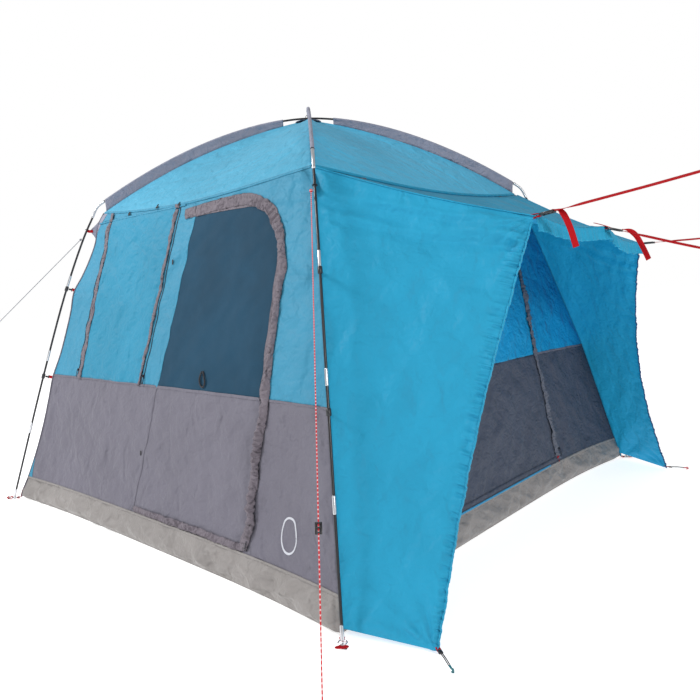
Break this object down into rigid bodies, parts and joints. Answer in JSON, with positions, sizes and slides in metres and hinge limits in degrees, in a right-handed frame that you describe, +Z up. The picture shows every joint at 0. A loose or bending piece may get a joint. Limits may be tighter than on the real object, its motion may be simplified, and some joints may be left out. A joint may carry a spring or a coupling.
{
  "type": "cabin tent with vehicle awning",
  "caption": "Cabin dome tent with a hinged front door, a roll-up window cover and an awning that straps to a vehicle, held up by crossing poles.",
  "frame": {"origin": "on the ground, under the middle of the tent and its awning, with the straps and guylines left out", "axes": "+X towards the awning and the vehicle, -Y out of the front door, +Z up"},
  "size_m": [3.7279, 3.3715, 2.1555],
  "materials": {
    "wall_cloth": "light blue polyester, matt with a soft sheen",
    "cover_cloth": "light blue polyester, matt",
    "awning_cloth": "saturated blue polyester, matt",
    "lower_cloth": "grey polyester, matt",
    "sleeve_cloth": "grey polyester, matt",
    "window_mesh": "dark insect mesh, matt",
    "tray_sheet": "pale grey woven groundsheet, slightly glossy",
    "pole": "black fibreglass, satin",
    "elbow_metal": "bright metal",
    "foot_webbing": "red webbing, matt",
    "strap_webbing": "red webbing, matt",
    "buckle_plastic": "black plastic, satin",
    "runner_plastic": "black plastic, satin",
    "guy_cord": "braided cord with a red fleck",
    "zip_metal": "black coated metal",
    "hook_plastic": "teal plastic"
  },
  "bodies": {
    "tent": {"arch_lower": "pole", "arch_upper": "pole", "awning_hook_front": "hook_plastic", "awning_hook_rear": "hook_plastic", "awning_side_front": "awning_cloth", "awning_side_rear": "awning_cloth", "awning_top": "awning_cloth", "buckle_front": "buckle_plastic", "buckle_middle": "buckle_plastic", "buckle_rear": "buckle_plastic", "elbow_left_front": "elbow_metal", "elbow_left_rear": "elbow_metal", "elbow_right_front": "elbow_metal", "elbow_right_rear": "elbow_metal", "foot_left_front": "foot_webbing", "foot_left_rear": "foot_webbing", "foot_right_front": "foot_webbing", "foot_right_rear": "foot_webbing", "front_wall_lower_left": "lower_cloth", "front_wall_lower_right": "lower_cloth", "front_wall_upper_left": "wall_cloth", "front_wall_upper_middle": "wall_cloth", "front_wall_upper_right": "wall_cloth", "guyline_left": "guy_cord", "guyline_right": "guy_cord", "left_wall": "wall_cloth", "leg_left_front": "pole", "leg_left_rear": "pole", "leg_right_front": "pole", "leg_right_rear": "pole", "rear_wall": "wall_cloth", "roof_front": "wall_cloth", "roof_left": "wall_cloth", "roof_rear": "wall_cloth", "roof_vehicle": "wall_cloth", "sleeve_left_front": "sleeve_cloth", "sleeve_left_rear": "sleeve_cloth", "sleeve_right_front": "sleeve_cloth", "sleeve_right_rear": "sleeve_cloth", "strap_front": "strap_webbing", "strap_middle": "strap_webbing", "strap_rear": "strap_webbing", "tray_floor": "tray_sheet", "tray_upstand_front": "tray_sheet", "tray_upstand_left": "tray_sheet", "tray_upstand_rear": "tray_sheet", "tray_upstand_vehicle": "tray_sheet", "vehicle_wall_front": "wall_cloth", "vehicle_wall_header": "wall_cloth", "vehicle_wall_rear": "wall_cloth", "window_mesh": "window_mesh"},
    "front_door": {"door_panel": "lower_cloth", "door_window": "window_mesh"},
    "cover": {"window_cover": "cover_cloth"},
    "roll_door": {"vehicle_door": "wall_cloth"},
    "runner": {"guyline_runner": "runner_plastic"},
    "slider_window_left": {"zip_slider_window_left": "zip_metal"},
    "slider_window_right": {"zip_slider_window_right": "zip_metal"},
    "slider_door": {"zip_slider_door": "zip_metal"},
    "slider_vehicle_door": {"zip_slider_vehicle_door": "zip_metal"}
  },
  "joints": [
    {"name": "front_door_hinge", "type": "hinge", "parent": "tent", "child": "front_door", "pos_m": [-0.10771, -0.90232, 1.532], "axis": [-0.1658, -0.2301, -0.9589], "range_deg": [0, 110]},
    {"name": "window_cover_lift", "type": "hinge", "parent": "tent", "child": "cover", "pos_m": [-0.58671, -0.89181, 1.59293], "axis": [-1, 0, 0], "range_deg": [0, 120]},
    {"name": "vehicle_door_lift", "type": "hinge", "parent": "tent", "child": "roll_door", "pos_m": [0.68965, 0, 1.5023], "axis": [0, 1, 0], "range_deg": [0, 95]},
    {"name": "window_zip_left_slide", "type": "slide", "parent": "tent", "child": "slider_window_left", "axis": [0.1184, 0.2317, 0.9655], "range_m": [0, 0.78]},
    {"name": "window_zip_right_slide", "type": "slide", "parent": "tent", "child": "slider_window_right", "axis": [0.1701, 0.23, 0.9582], "range_m": [0, 0.78]},
    {"name": "door_zip_slide", "type": "slide", "parent": "tent", "child": "slider_door", "axis": [0, 0.2334, 0.9724], "range_m": [0, 1.08]},
    {"name": "vehicle_door_zip_slide", "type": "slide", "parent": "tent", "child": "slider_vehicle_door", "axis": [-0.2334, 0, 0.9724], "range_m": [0, 1.25]},
    {"name": "guyline_runner_slide", "type": "slide", "parent": "tent", "child": "runner", "axis": [0.4734, -0.5109, -0.7176], "range_m": [-0.9, 0.6]}
  ]
}
